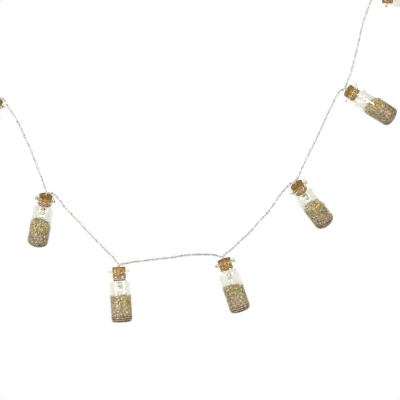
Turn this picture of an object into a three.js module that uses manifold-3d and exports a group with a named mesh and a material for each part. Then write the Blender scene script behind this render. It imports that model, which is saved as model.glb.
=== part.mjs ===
// Jar string lights: ten small corked glass vials with glitter and one lamp each, on a twisted wire pair with a
// battery box, hung over two round rails. Millimetres, +Z up, +X along the string, -Y towards the viewer.
// The origin is the crest of the wire over the left rail, where the string is held.
import * as THREE from "three";
import { mergeVertices } from "three/addons/utils/BufferGeometryUtils.js";
import Module from "manifold-3d";

const wasm = await Module();
wasm.setup();

// ---- driving dimensions -------------------------------------------------------------------------------------------
const WIRE_D = 2.0; // outer width of the twisted pair
const RAIL_R = 19; // the wire's bend over each rail: front and back runs are 38 mm apart
const FRONT = -RAIL_R, // y of the run that carries the display
  BACK = RAIL_R; // y of the runs that hang down behind the rails
const WIRE_TO_JOINT = 2.25; // a run starts this far from the middle of the glue bead

// one jar, measured down its axis from its origin, at or just above the bead where the wires meet
const CORK_TOP = 3.5,
  CORK_R_TOP = 6.4,
  CORK_TAPER = 0.03, // radius lost per mm
  CORK_HOLE_R = 1.65;
const LIP_TOP = 5.9,
  LIP_H = 2.7,
  LIP_R = 10.0,
  BORE_R = 6.65,
  NECK_R = 7.7,
  SHOULDER_TOP = 14.0,
  SHOULDER_END = 17.2,
  BODY_R = 10.0,
  WALL = 0.9,
  JAR_BOTTOM = 55.8,
  BASE_T = 1.5,
  HEEL = 3.4;
const GLITTER_GAP = 0.3,
  GLITTER_BOTTOM = JAR_BOTTOM - BASE_T - 0.3;
const STEM_R = 1.3,
  BEAD_R = 1.75,
  LAMP_TOP = 17.6, // flange of the lamp
  LAMP_FLANGE_R = 2.9,
  LAMP_R = 2.5,
  LAMP_TIP = 26.4,
  LEAD_W = 0.5,
  LEAD_PITCH = 2.2;

// battery box for two AA cells
const BOX_W = 34.5,
  BOX_H = 72,
  BOX_T = 19.5,
  BOX_SIDE = 2.0,
  BOX_BACK = 1.6,
  HEAD_H = 13.0, // closed head with the switch
  CELL_R = 7.1,
  CELL_X = 7.45,
  CELL_Y = 0.75,
  CELL_L = 48.8,
  NUB_R = 2.75,
  NUB_H = 1.2;
const BOX_AT = [0, BACK, -242]; // middle of its top face

// ---- the jars: origin on the axis above the cork, lean in the picture plane (bottom to the right is +), lean away
// ---- from the viewer, cork length, depth of the glitter's top, how far below the origin the glue bead sits
const JARS = [
  { at: [55.3, FRONT, -121.9], lean: -24, away: 20, cork: 9.6, fill: 31.0, rise: 0 },
  { at: [101.2, FRONT, -213.4], lean: -11.4, away: 27.5, cork: 9.2, fill: 33.6, rise: 0 },
  { at: [169.6, FRONT, -280.7], lean: 3.5, away: 2, cork: 11.2, fill: 31.3, rise: 1.3 },
  { at: [268.4, FRONT, -273.5], lean: 18.5, away: 9.5, cork: 10.4, fill: 31.6, rise: 1.4 },
  { at: [336.7, FRONT, -203.3], lean: 38.1, away: 28, cork: 9.2, fill: 32.4, rise: 0 },
  { at: [384.6, FRONT, -114.6], lean: 59.3, away: 18, cork: 9.2, fill: 31.3, rise: 0 },
  { at: [417.0, FRONT, -27.1], lean: 88, away: 4, cork: 9.8, fill: 31.2, rise: 0 },
  { at: [466.2, FRONT, 59.8], lean: 45, away: 8, cork: 10.0, fill: 30.2, rise: 0 },
  { at: [480.7, BACK, 75.0], lean: 0, away: 10, cork: 10.4, fill: 31.4, rise: 0 },
  { at: [480.7, BACK, -24.7], lean: 0, away: 0, cork: 9.8, fill: 30.7, rise: 0 },
];

// ---- the wire's route, x and z of each run in the front plane ------------------------------------------------------
const RUNS = [
  [[56.8, -123.8], [60.9, -125.5], [65.5, -133.4], [70.4, -140.3], [74.5, -147.7], [78.4, -155.4], [81.7, -163.3], [85.4, -170.9], [88.5, -178.9], [91.6, -186.9], [94.6, -194.8], [97.8, -202.6], [99.8, -208.5], [100.6, -210.4]],
  [[102.9, -212.4], [106.9, -214.3], [112.4, -219.1], [117.6, -226.1], [123.4, -232.5], [129.2, -238.6], [135.2, -244.7], [140.7, -251.0], [146.8, -257.2], [152.7, -263.3], [158.7, -269.3], [165.0, -275.1], [169.7, -279.5]],
  [[173.0, -281.1], [176.7, -280.6], [182.8, -279.4], [191.2, -278.4], [199.7, -277.3], [208.1, -276.3], [216.7, -275.4], [225.2, -274.2], [233.6, -272.8], [242.2, -272.2], [250.8, -272.2], [259.3, -272.4], [267.0, -272.7]],
  [[270.5, -271.9], [273.6, -269.8], [279.3, -265.2], [285.2, -259.5], [291.7, -253.6], [297.9, -247.3], [303.4, -240.8], [309.2, -234.6], [314.7, -228.1], [319.3, -221.0], [324.2, -214.3], [329.9, -207.7], [333.4, -204.6], [335.5, -203.5]],
  [[338.5, -201.7], [340.4, -198.7], [343.2, -191.7], [346.9, -184.0], [350.6, -176.2], [354.4, -168.5], [358.2, -160.8], [361.8, -153.0], [365.3, -145.3], [368.9, -137.5], [372.7, -129.8], [376.7, -122.0], [379.9, -117.0], [382.9, -115.0]],
  [[385.2, -112.9], [386.8, -108.8], [389.2, -103.2], [391.6, -95.6], [393.6, -87.4], [395.6, -79.1], [397.6, -70.8], [399.4, -62.5], [401.4, -54.1], [403.9, -46.0], [406.9, -38.2], [409.4, -31.4], [412.0, -27.6], [415.2, -26.8]],
  [[417.6, -25.1], [418.3, -21.9], [420.1, -14.2], [424.2, -3.8], [431.3, 9.5], [439.8, 23.8], [449.3, 38.5], [458.8, 52.2], [464.7, 58.4]],
].map((run) => run.map(([x, z]) => [x, FRONT, z]));

// a run's ends are moved to the same short distance from the beads they meet
function meet(points, first, last) {
  const run = points.map((p) => new THREE.Vector3(...p));
  const end = (bead, list) => {
    const b = new THREE.Vector3(...bead);
    while (list[0].distanceTo(b) < WIRE_TO_JOINT + 0.8) list.shift();
    list.unshift(b.clone().add(list[0].clone().sub(b).setLength(WIRE_TO_JOINT)));
  };
  if (first) end(first, run);
  if (last) {
    run.reverse();
    end(last, run);
    run.reverse();
  }
  return run;
}

// points of the half turn over a rail, from the run at y = from to the run on its other side
function overRail(x, crestZ, from) {
  return [30, 60, 90, 120, 150].map((a) => {
    const r = (a * Math.PI) / 180;
    return [x, Math.sign(from) * RAIL_R * Math.cos(r), crestZ - RAIL_R + RAIL_R * Math.sin(r)];
  });
}
const LEAD_RUN = [
  [0, BACK, -244.4],
  [0.2, BACK, -236],
  [0.9, BACK, -205],
  [-0.6, BACK + 0.4, -160],
  [0.7, BACK, -115],
  [-0.4, BACK - 0.2, -70],
  [0, BACK, -35],
  [0, BACK, -19],
  ...overRail(0, 0, BACK),
  [0.3, FRONT, -19],
  [3.6, FRONT, -31],
  [11.5, FRONT, -48],
  [21.5, FRONT, -67],
  [31.5, FRONT, -85.5],
  [41.2, FRONT, -102.5],
  [49.0, FRONT, -116.3],
  [52.4, FRONT, -121.6],
];
const RIGHT_CREST = 104.5;
const OVER_RUN = [
  [467.6, FRONT, 61.6],
  [471.5, FRONT, 68.0],
  [477.8, FRONT, 79.0],
  [480.4, FRONT, 85.5],
  ...overRail(480.7, RIGHT_CREST, FRONT),
  [480.7, BACK, 84.0],
  [480.7, BACK, 77.3],
];
const TAIL_RUN = [
  [480.7, BACK - 2.4, 74.9],
  [480.8, BACK - 6.0, 74.1],
  [480.9, BACK - 9.4, 71.6],
  [480.8, BACK - 11.3, 67.2],
  [480.7, BACK - 12.0, 60.0],
  [480.5, BACK - 11.5, 42],
  [480.4, BACK - 9.0, 14],
  [480.6, BACK - 4.2, -8],
  [480.7, BACK - 0.6, -20],
  [480.7, BACK, -22.5],
];

// ---- helpers ------------------------------------------------------------------------------------------------------
const paint = (color, roughness, metalness = 0, more = {}) =>
  new THREE.MeshStandardMaterial({ color, roughness, metalness, ...more });
const LOOK = {
  glass: () => paint(0xe8efec, 0.05, 0, { transparent: true, opacity: 0.35 }),
  cork: () => paint(0xb98345, 0.85),
  glitter: () => paint(0xa89a72, 0.35, 0.6),
  lamp: () => paint(0xf3ead6, 0.2),
  wire: () => paint(0xb9b8b2, 0.35, 0.3),
  shell: () => paint(0xe6e6e2, 0.55),
  dark: () => paint(0x2a2b2d, 0.5),
  steel: () => paint(0xb7babd, 0.3, 0.9),
  cell: () => paint(0x6f7378, 0.35, 0.4),
};

function solid(geometry) {
  const g = geometry.clone();
  g.deleteAttribute("normal");
  g.deleteAttribute("uv");
  const m = mergeVertices(g, 1e-4);
  return new wasm.Manifold(
    new wasm.Mesh({
      numProp: 3,
      vertProperties: new Float32Array(m.attributes.position.array),
      triVerts: new Uint32Array(m.index.array),
    }),
  );
}
function geometryOf(manifold) {
  const m = manifold.getMesh();
  const g = new THREE.BufferGeometry();
  g.setAttribute("position", new THREE.BufferAttribute(new Float32Array(m.vertProperties), 3));
  g.setIndex(new THREE.BufferAttribute(new Uint32Array(m.triVerts), 1));
  g.computeVertexNormals();
  return g;
}
function box(x0, x1, y0, y1, z0, z1) {
  return solid(
    new THREE.BoxGeometry(x1 - x0, y1 - y0, z1 - z0).translate((x0 + x1) / 2, (y0 + y1) / 2, (z0 + z1) / 2),
  );
}
// a body of revolution about Z; profile is [radius, z] from bottom axis point outwards and up
function turned(profile, sides) {
  return new THREE.LatheGeometry(
    profile.map(([r, z]) => new THREE.Vector2(r, z)),
    sides,
  ).rotateX(Math.PI / 2);
}
function bar(r, z0, z1, sides, x = 0, y = 0) {
  return solid(
    turned(
      [
        [0, z0],
        [r, z0],
        [r, z1],
        [0, z1],
      ],
      sides,
    ).translate(x, y, 0),
  );
}
function mesh(name, geometry, material) {
  const m = new THREE.Mesh(geometry, material);
  m.name = name;
  return m;
}
const polygon = (r, sides) =>
  new THREE.Shape(
    Array.from({ length: sides }, (_, i) => {
      const a = ((i + 0.5) / sides) * 2 * Math.PI;
      return new THREE.Vector2(r * Math.cos(a), r * Math.sin(a));
    }),
  );
function wire(name, points, steps) {
  const path = new THREE.CatmullRomCurve3(points, false, "centripetal");
  return mesh(
    name,
    new THREE.ExtrudeGeometry(polygon(WIRE_D / 2, 8), { steps, bevelEnabled: false, extrudePath: path }),
    LOOK.wire(),
  );
}

const set = new THREE.Group();

// ---- ten jars -----------------------------------------------------------------------------------------------------
const rad = THREE.MathUtils.degToRad;
function placeJar(group, { at, lean, away }) {
  const a = rad(lean),
    b = rad(away);
  const down = new THREE.Vector3(Math.sin(a) * Math.cos(b), Math.sin(b), -Math.cos(a) * Math.cos(b));
  const up = down.clone().negate();
  const side = new THREE.Vector3(Math.cos(a), 0, Math.sin(a));
  const back = new THREE.Vector3().crossVectors(up, side);
  group.matrixAutoUpdate = false;
  group.matrix.makeBasis(side, back, up).setPosition(...at);
}

JARS.forEach((jar, i) => {
  const n = String(i + 1).padStart(2, "0");
  const g = new THREE.Group();
  placeJar(g, jar);

  // glass vial: flat lip, neck, round shoulder, straight body, rounded heel, open bore
  const rIn = BODY_R - WALL;
  g.add(
    mesh(
      "vial_" + n,
      turned(
        [
          [0, -JAR_BOTTOM],
          [BODY_R - HEEL, -JAR_BOTTOM],
          [BODY_R - 0.9, -(JAR_BOTTOM - 1.1)],
          [BODY_R, -(JAR_BOTTOM - HEEL)],
          [BODY_R, -SHOULDER_END],
          [9.2, -(SHOULDER_TOP + 1.1)],
          [NECK_R, -SHOULDER_TOP],
          [NECK_R, -(LIP_TOP + LIP_H)],
          [LIP_R, -(LIP_TOP + LIP_H - 0.4)],
          [LIP_R, -LIP_TOP],
          [BORE_R, -LIP_TOP],
          [BORE_R, -(SHOULDER_TOP + 0.7)],
          [8.3, -(SHOULDER_TOP + 2.0)],
          [rIn, -(SHOULDER_END + 0.2)],
          [rIn, -(JAR_BOTTOM - HEEL - 0.2)],
          [rIn - 2.2, -(JAR_BOTTOM - BASE_T)],
          [0, -(JAR_BOTTOM - BASE_T)],
        ],
        20,
      ),
      LOOK.glass(),
    ),
  );

  // glitter, glued as one plug in the bottom of the vial
  const rg = rIn - GLITTER_GAP - 0.05;
  g.add(
    mesh(
      "glitter_" + n,
      turned(
        [
          [0, -GLITTER_BOTTOM],
          [rg - 2.1, -GLITTER_BOTTOM],
          [rg, -(JAR_BOTTOM - HEEL - 0.5)],
          [rg, -jar.fill],
          [0, -jar.fill],
        ],
        16,
      ),
      LOOK.glitter(),
    ),
  );

  // tapered cork with the hole for the lamp's stem
  const rTop = CORK_R_TOP,
    rEnd = CORK_R_TOP - CORK_TAPER * jar.cork,
    zTop = -CORK_TOP,
    zEnd = -(CORK_TOP + jar.cork);
  g.add(
    mesh(
      "cork_" + n,
      turned(
        [
          [CORK_HOLE_R, zEnd],
          [rEnd, zEnd],
          [rTop, zTop],
          [CORK_HOLE_R, zTop],
          [CORK_HOLE_R, zEnd],
        ],
        16,
      ),
      LOOK.cork(),
    ),
  );

  // lamp: bead over the splice, stem through the cork, two leads, flanged lamp with a domed end
  const stem = solid(
    turned(
      [
        [0, -15.2],
        [STEM_R, -15.2],
        [STEM_R, -1.25 - jar.rise],
        [BEAD_R, -0.5 - jar.rise],
        [BEAD_R, 0.5 - jar.rise],
        [0.9, 1.5 - jar.rise],
        [0, 1.5 - jar.rise],
      ],
      10,
    ),
  );
  const lampBody = solid(
    turned(
      [
        [0, -LAMP_TIP],
        [1.45, -(LAMP_TIP - 0.5)],
        [LAMP_R, -(LAMP_TIP - 2.3)],
        [LAMP_R, -(LAMP_TOP + 1)],
        [LAMP_FLANGE_R, -(LAMP_TOP + 1)],
        [LAMP_FLANGE_R, -LAMP_TOP],
        [0, -LAMP_TOP],
      ],
      10,
    ),
  );
  const h = LEAD_W / 2,
    p = LEAD_PITCH / 2 - 0.1;
  const leads = [-1, 1].map((s) => box(s * p - h, s * p + h, -h, h, -(LAMP_TOP + 0.4), -14.8));
  g.add(mesh("lamp_" + n, geometryOf(stem.add(lampBody).add(leads[0]).add(leads[1])), LOOK.lamp()));
  set.add(g);
});

// ---- the wire -----------------------------------------------------------------------------------------------------
const bead = (k) => {
  const { at, lean, away, rise } = JARS[k];
  const [a, b] = [lean, away].map((t) => (t * Math.PI) / 180);
  const down = [Math.sin(a) * Math.cos(b), Math.sin(b), -Math.cos(a) * Math.cos(b)];
  return at.map((c, i) => c + down[i] * rise);
};
set.add(wire("wire_lead", meet(LEAD_RUN, null, bead(0)), 24));
RUNS.forEach((run, i) => set.add(wire("wire_run_" + (i + 1), meet(run, bead(i), bead(i + 1)), 7)));
set.add(wire("wire_run_8", meet(OVER_RUN, bead(7), bead(8)), 10));
set.add(wire("wire_run_9", meet(TAIL_RUN, bead(8), bead(9)), 9));

// ---- battery box: origin in the middle of its top face, cover towards the viewer ----------------------------------
const bb = new THREE.Group();
bb.position.set(...BOX_AT);
const W = BOX_W / 2,
  T = BOX_T / 2,
  IN = W - BOX_SIDE; // half width of the bay
function roundedPlate(x, z0, z1, r, y0, y1) {
  const s = new THREE.Shape();
  s.moveTo(-x + r, z0);
  s.lineTo(x - r, z0);
  s.absarc(x - r, z0 + r, r, -Math.PI / 2, 0, false);
  s.lineTo(x, z1 - r);
  s.absarc(x - r, z1 - r, r, 0, Math.PI / 2, false);
  s.lineTo(-x + r, z1);
  s.absarc(-x + r, z1 - r, r, Math.PI / 2, Math.PI, false);
  s.lineTo(-x, z0 + r);
  s.absarc(-x + r, z0 + r, r, Math.PI, 1.5 * Math.PI, false);
  // drawn in x and z, with its thickness along y
  return solid(
    new THREE.ExtrudeGeometry(s, { depth: y1 - y0, bevelEnabled: false, curveSegments: 3 })
      .rotateX(Math.PI / 2)
      .translate(0, y1, 0),
  );
}
const SLOT_Y = -7.35; // the cover's inner side, plus its gap
let shell = roundedPlate(W, -BOX_H, 0, 2.6, -T, T);
shell = shell.subtract(box(-IN, IN, -T - 1, T - BOX_BACK, -70, -14)); // cell bay
shell = shell.subtract(box(-IN, IN, -T - 1, SLOT_Y, -BOX_H - 1, -HEAD_H)); // seat of the cover, open at the lower end
shell = shell.subtract(box(-IN - 1.1, IN + 1.1, SLOT_Y - 1.4, SLOT_Y, -BOX_H - 1, -HEAD_H)); // its two grooves
shell = shell.subtract(box(-IN, IN, -T + 1.6, T - BOX_BACK, -12.6, -1.6)); // switch chamber
shell = shell.subtract(box(-3.65, 3.65, -T - 1, -T + 2, -8.3, -4.3)); // slot for the slider
shell = shell.subtract(box(11.6, 14.6, 4.6, 7.6, -14.5, -12)); // notch for the inner wires
shell = shell.subtract(bar(1.6, -2, 1, 12)); // wire hole
bb.add(mesh("battery_case", geometryOf(shell), LOOK.shell()));

let lid = box(-IN + 0.3, IN - 0.3, -T, SLOT_Y - 0.3, -BOX_H, -HEAD_H - 0.3);
lid = lid.add(box(-IN - 0.8, IN + 0.8, SLOT_Y - 1.1, SLOT_Y - 0.3, -BOX_H, -HEAD_H - 0.3)); // tongues in the grooves
for (let k = 0; k < 4; k++) {
  // thumb ribs
  const z = -19.5 - 1.9 * k;
  lid = lid.add(box(-6, 6, -T - 0.5, -T + 0.4, z - 0.45, z + 0.45));
}
bb.add(mesh("battery_cover", geometryOf(lid), LOOK.shell()));

function cell(name, x, top, nubUp) {
  const s = nubUp ? 1 : -1;
  const prof = nubUp
    ? [
        [0, top - NUB_H - CELL_L],
        [CELL_R, top - NUB_H - CELL_L],
        [CELL_R, top - NUB_H - 0.4],
        [CELL_R - 0.5, top - NUB_H],
        [NUB_R, top - NUB_H],
        [NUB_R, top],
        [0, top],
      ]
    : [
        [0, top - NUB_H - CELL_L],
        [NUB_R, top - NUB_H - CELL_L],
        [NUB_R, top - CELL_L],
        [CELL_R - 0.5, top - CELL_L],
        [CELL_R, top - CELL_L + 0.4],
        [CELL_R, top],
        [0, top],
      ];
  return mesh(name, turned(prof, 18).translate(s * -CELL_X, CELL_Y, 0), LOOK.cell());
}
bb.add(cell("battery_cell_left", -CELL_X, -15.1, true));
bb.add(cell("battery_cell_right", CELL_X, -18.9, false));

function spring(x, z0, z1, r0, r1) {
  return solid(
    turned(
      z0 < z1
        ? [
            [0, z0],
            [r0, z0],
            [r1, z1],
            [0, z1],
          ]
        : [
            [0, z1],
            [r1, z1],
            [r0, z0],
            [0, z0],
          ],
      12,
    ).translate(x, CELL_Y, 0),
  );
}
const plate = (x0, x1, z0, z1) => box(x0, x1, CELL_Y - 4.6, CELL_Y + 4.6, z0, z1);
bb.add(mesh("contact_plus", geometryOf(plate(-CELL_X - 4.8, -CELL_X + 4.8, -14.8, -14.3)), LOOK.steel()));
bb.add(
  mesh(
    "contact_minus_spring",
    geometryOf(plate(CELL_X - 4.8, CELL_X + 4.8, -14.8, -14.3).add(spring(CELL_X, -14.7, -18.6, 4.2, 2.9))),
    LOOK.steel(),
  ),
);
bb.add(
  mesh(
    "contact_bridge_spring",
    geometryOf(plate(-CELL_X - 4.8, CELL_X + 4.8, -69.7, -69.2).add(spring(-CELL_X, -69.3, -65.4, 4.2, 2.9))),
    LOOK.steel(),
  ),
);
bb.add(mesh("switch_body", geometryOf(box(-6, 6, -T + 1.9, -T + 6.4, -9.1, -3.5)), LOOK.dark()));
const knob = box(-1.75 - 1.6, -1.75 + 1.6, -T - 1.2, -T + 1.6, -8.0, -4.6);
const grip = [-0.8, 0.8].map((d) => box(-1.75 + d - 0.25, -1.75 + d + 0.25, -T - 1.5, -T - 1.0, -8.0, -4.6));
bb.add(mesh("switch_slider", geometryOf(knob.add(grip[0]).add(grip[1])), LOOK.dark()));
set.add(bb);

export default set;
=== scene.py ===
import math

import bmesh
import bpy
import numpy as np
from mathutils import Matrix, Vector, noise


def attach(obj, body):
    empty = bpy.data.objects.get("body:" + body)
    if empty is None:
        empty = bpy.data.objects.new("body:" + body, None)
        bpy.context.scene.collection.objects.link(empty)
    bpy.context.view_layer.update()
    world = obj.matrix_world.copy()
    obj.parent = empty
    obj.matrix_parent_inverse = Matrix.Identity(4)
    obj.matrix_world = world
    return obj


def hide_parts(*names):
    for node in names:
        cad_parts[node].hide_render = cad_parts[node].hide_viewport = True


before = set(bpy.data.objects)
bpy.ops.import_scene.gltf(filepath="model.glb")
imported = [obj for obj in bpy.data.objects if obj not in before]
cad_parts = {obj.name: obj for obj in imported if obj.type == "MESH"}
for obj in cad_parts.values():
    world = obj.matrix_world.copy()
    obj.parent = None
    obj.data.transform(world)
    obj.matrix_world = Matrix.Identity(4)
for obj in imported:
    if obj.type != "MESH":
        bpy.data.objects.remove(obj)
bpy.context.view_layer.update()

MM = 0.001
scene = bpy.context.scene

# ---- camera: level, square to the front run of the string ----------------------------------------------------------
CAMERA_AWAY = 4.0
camera_data = bpy.data.cameras.new("camera")
camera_data.sensor_width = 36.0
camera_data.lens = 36.0 * CAMERA_AWAY / 0.38
camera_data.clip_start, camera_data.clip_end = 0.05, 30.0
camera = bpy.data.objects.new("camera", camera_data)
scene.collection.objects.link(camera)
camera.location = (0.247, -0.019 - CAMERA_AWAY, -0.2204)
camera.rotation_euler = (math.pi / 2, 0, 0)
scene.camera = camera

scene.view_settings.view_transform = "Standard"
scene.view_settings.look = "None"
scene.view_settings.exposure = 0.0
scene.view_settings.gamma = 1.0
# light in the thick glass lips crosses many surfaces before it comes out again
scene.cycles.max_bounces = scene.cycles.transmission_bounces = scene.cycles.glossy_bounces = 32

# ---- the part's own numbers, as in its CAD source -------------------------------------------------------------------
RAIL_R = 19.0
FRONT, BACK = -RAIL_R, RAIL_R
WIRE_TO_JOINT = 2.25
CORK_TOP, CORK_R_TOP, CORK_TAPER, CORK_HOLE_R = 3.5, 6.4, 0.03, 1.65
LIP_TOP, LIP_H, LIP_R, BORE_R, NECK_R = 5.9, 2.7, 10.0, 6.55, 7.7
SHOULDER_TOP, SHOULDER_END, BODY_R, WALL = 14.0, 17.2, 10.0, 0.9
JAR_BOTTOM, BASE_T, HEEL = 55.8, 1.5, 3.4
LAMP_TOP, LAMP_FLANGE_R, LAMP_R, LAMP_TIP = 17.6, 2.9, 2.5, 26.4

JARS = [
    dict(at=(55.3, FRONT, -121.9), lean=-24.0, away=20.0, cork=9.6, fill=31.0, slope=7.0, rise=0.0),
    dict(at=(101.2, FRONT, -213.4), lean=-11.4, away=27.5, cork=9.2, fill=33.6, slope=9.0, rise=0.0),
    dict(at=(169.6, FRONT, -280.7), lean=3.5, away=2.0, cork=11.2, fill=31.3, slope=0.0, rise=1.3),
    dict(at=(268.4, FRONT, -273.5), lean=18.5, away=9.5, cork=10.4, fill=31.6, slope=8.0, rise=1.4),
    dict(at=(336.7, FRONT, -203.3), lean=38.1, away=28.0, cork=9.2, fill=32.4, slope=4.0, rise=0.0),
    dict(at=(384.6, FRONT, -114.6), lean=59.3, away=18.0, cork=9.2, fill=31.3, slope=9.0, rise=0.0),
    dict(at=(417.0, FRONT, -27.1), lean=88.0, away=4.0, cork=9.8, fill=31.2, slope=6.0, rise=0.0),
    dict(at=(466.2, FRONT, 59.8), lean=45.0, away=8.0, cork=10.0, fill=30.2, slope=5.0, rise=0.0),
    dict(at=(480.7, BACK, 75.0), lean=0.0, away=10.0, cork=10.4, fill=31.4, slope=-3.0, rise=0.0),
    dict(at=(480.7, BACK, -24.7), lean=0.0, away=0.0, cork=9.8, fill=30.7, slope=2.0, rise=0.0),
]

RUNS = [
    [(56.8, -123.8), (60.9, -125.5), (65.5, -133.4), (70.4, -140.3), (74.5, -147.7), (78.4, -155.4), (81.7, -163.3), (85.4, -170.9), (88.5, -178.9), (91.6, -186.9), (94.6, -194.8), (97.8, -202.6), (99.8, -208.5), (100.6, -210.4)],
    [(102.9, -212.4), (106.9, -214.3), (112.4, -219.1), (117.6, -226.1), (123.4, -232.5), (129.2, -238.6), (135.2, -244.7), (140.7, -251.0), (146.8, -257.2), (152.7, -263.3), (158.7, -269.3), (165.0, -275.1), (169.7, -279.5)],
    [(173.0, -281.1), (176.7, -280.6), (182.8, -279.4), (191.2, -278.4), (199.7, -277.3), (208.1, -276.3), (216.7, -275.4), (225.2, -274.2), (233.6, -272.8), (242.2, -272.2), (250.8, -272.2), (259.3, -272.4), (267.0, -272.7)],
    [(270.5, -271.9), (273.6, -269.8), (279.3, -265.2), (285.2, -259.5), (291.7, -253.6), (297.9, -247.3), (303.4, -240.8), (309.2, -234.6), (314.7, -228.1), (319.3, -221.0), (324.2, -214.3), (329.9, -207.7), (333.4, -204.6), (335.5, -203.5)],
    [(338.5, -201.7), (340.4, -198.7), (343.2, -191.7), (346.9, -184.0), (350.6, -176.2), (354.4, -168.5), (358.2, -160.8), (361.8, -153.0), (365.3, -145.3), (368.9, -137.5), (372.7, -129.8), (376.7, -122.0), (379.9, -117.0), (382.9, -115.0)],
    [(385.2, -112.9), (386.8, -108.8), (389.2, -103.2), (391.6, -95.6), (393.6, -87.4), (395.6, -79.1), (397.6, -70.8), (399.4, -62.5), (401.4, -54.1), (403.9, -46.0), (406.9, -38.2), (409.4, -31.4), (412.0, -27.6), (415.2, -26.8)],
    [(417.6, -25.1), (418.3, -21.9), (420.1, -14.2), (424.2, -3.8), (431.3, 9.5), (439.8, 23.8), (449.3, 38.5), (458.8, 52.2), (464.7, 58.4)],
]
RUNS = [[(x, FRONT, z) for x, z in run] for run in RUNS]


def jar_down(jar):
    """Unit vector down a jar's axis."""
    a, b = math.radians(jar["lean"]), math.radians(jar["away"])
    return (math.sin(a) * math.cos(b), math.sin(b), -math.cos(a) * math.cos(b))


def over_rail(x, crest, start):
    side = 1.0 if start > 0 else -1.0
    return [
        (x, side * RAIL_R * math.cos(math.radians(a)), crest - RAIL_R + RAIL_R * math.sin(math.radians(a)))
        for a in (30, 60, 90, 120, 150)
    ]


LEAD_RUN = [
    (0, BACK, -244.4), (0.2, BACK, -236), (0.9, BACK, -205), (-0.6, BACK + 0.4, -160), (0.7, BACK, -115),
    (-0.4, BACK - 0.2, -70), (0, BACK, -35), (0, BACK, -19), *over_rail(0, 0, BACK), (0.3, FRONT, -19),
    (3.6, FRONT, -31), (11.5, FRONT, -48), (21.5, FRONT, -67), (31.5, FRONT, -85.5), (41.2, FRONT, -102.5),
    (49.0, FRONT, -116.3), (52.4, FRONT, -121.6),
]
OVER_RUN = [
    (467.6, FRONT, 61.6), (471.5, FRONT, 68.0), (477.8, FRONT, 79.0), (480.4, FRONT, 85.5),
    *over_rail(480.7, 104.5, FRONT), (480.7, BACK, 84.0), (480.7, BACK, 77.3),
]
TAIL_RUN = [
    (480.7, BACK - 2.4, 74.9), (480.8, BACK - 6.0, 74.1), (480.9, BACK - 9.4, 71.6), (480.8, BACK - 11.3, 67.2),
    (480.7, BACK - 12.0, 60.0), (480.5, BACK - 11.5, 42), (480.4, BACK - 9.0, 14), (480.6, BACK - 4.2, -8),
    (480.7, BACK - 0.6, -20), (480.7, BACK, -22.5),
]


def meet(points, first, last):
    run = [np.array(p, float) for p in points]

    def end(bead, line):
        b = np.array(bead, float)
        while np.linalg.norm(line[0] - b) < WIRE_TO_JOINT + 0.8:
            line.pop(0)
        way = line[0] - b
        line.insert(0, b + way / np.linalg.norm(way) * WIRE_TO_JOINT)

    if first is not None:
        end(first, run)
    if last is not None:
        run.reverse()
        end(last, run)
        run.reverse()
    return run


def centripetal(points, per=12):
    """The smooth line through the points that the CAD tubes follow."""
    p = [np.array(q, float) for q in points]
    ends = [2 * p[0] - p[1], *p, 2 * p[-1] - p[-2]]
    out = []
    for i in range(len(p) - 1):
        a, b, c, d = ends[i : i + 4]
        t0, t1, t2 = (max(np.linalg.norm(v - u), 1e-9) ** 0.5 for u, v in ((a, b), (b, c), (c, d)))
        m1 = ((b - a) / t0 - (c - a) / (t0 + t1) + (c - b) / t1) * t1
        m2 = ((c - b) / t1 - (d - b) / (t1 + t2) + (d - c) / t2) * t1
        for k in range(per):
            t = k / per
            out.append(
                b
                + m1 * t
                + (-3 * b + 3 * c - 2 * m1 - m2) * t * t
                + (2 * b - 2 * c + m1 + m2) * t**3
            )
    out.append(p[-1])
    return np.array(out)


def resampled(line, step):
    """Points at even steps along a line, with its length."""
    seg = np.linalg.norm(np.diff(line, axis=0), axis=1)
    at = np.concatenate([[0], np.cumsum(seg)])
    count = max(int(round(at[-1] / step)), 2)
    s = np.linspace(0, at[-1], count + 1)
    return np.stack([np.interp(s, at, line[:, k]) for k in range(3)], 1), s


def frames_along(line):
    """Unit tangent, and two unit vectors across it that don't twist."""
    t = np.gradient(line, axis=0)
    t /= np.linalg.norm(t, axis=1)[:, None]
    n = np.zeros_like(line)
    start = np.array([0, 1.0, 0]) if abs(t[0, 1]) < 0.9 else np.array([1.0, 0, 0])
    n[0] = start - t[0] * (start @ t[0])
    n[0] /= np.linalg.norm(n[0])
    for i in range(1, len(line)):
        v = n[i - 1] - t[i] * (n[i - 1] @ t[i])
        n[i] = v / np.linalg.norm(v)
    return t, n, np.cross(t, n)


# ---- mesh helpers -----------------------------------------------------------------------------------------------------
def make(name, verts, faces, materials, smooth=True, sharp=None, face_mats=None, floats=None, outward=True, weld=False):
    """A mesh object from points in millimetres."""
    me = bpy.data.meshes.new(name)
    v = np.asarray(verts, float) * MM
    me.from_pydata(v.tolist(), [], [tuple(int(i) for i in f) for f in faces])
    for m in materials:
        me.materials.append(m)
    if face_mats is not None:
        me.polygons.foreach_set("material_index", np.asarray(face_mats, np.int32))
    for key, values in (floats or {}).items():
        me.attributes.new(key, "FLOAT", "POINT").data.foreach_set("value", np.asarray(values, np.float32))
    if outward:
        bm = bmesh.new()
        bm.from_mesh(me)
        if weld:
            bmesh.ops.remove_doubles(bm, verts=bm.verts, dist=1e-7)
        bmesh.ops.recalc_face_normals(bm, faces=bm.faces)
        bm.to_mesh(me)
        bm.free()
    me.polygons.foreach_set("use_smooth", [smooth] * len(me.polygons))
    if smooth and sharp is not None:
        me.set_sharp_from_angle(angle=math.radians(sharp))
    me.update()
    ob = bpy.data.objects.new(name, me)
    scene.collection.objects.link(ob)
    return ob


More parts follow.
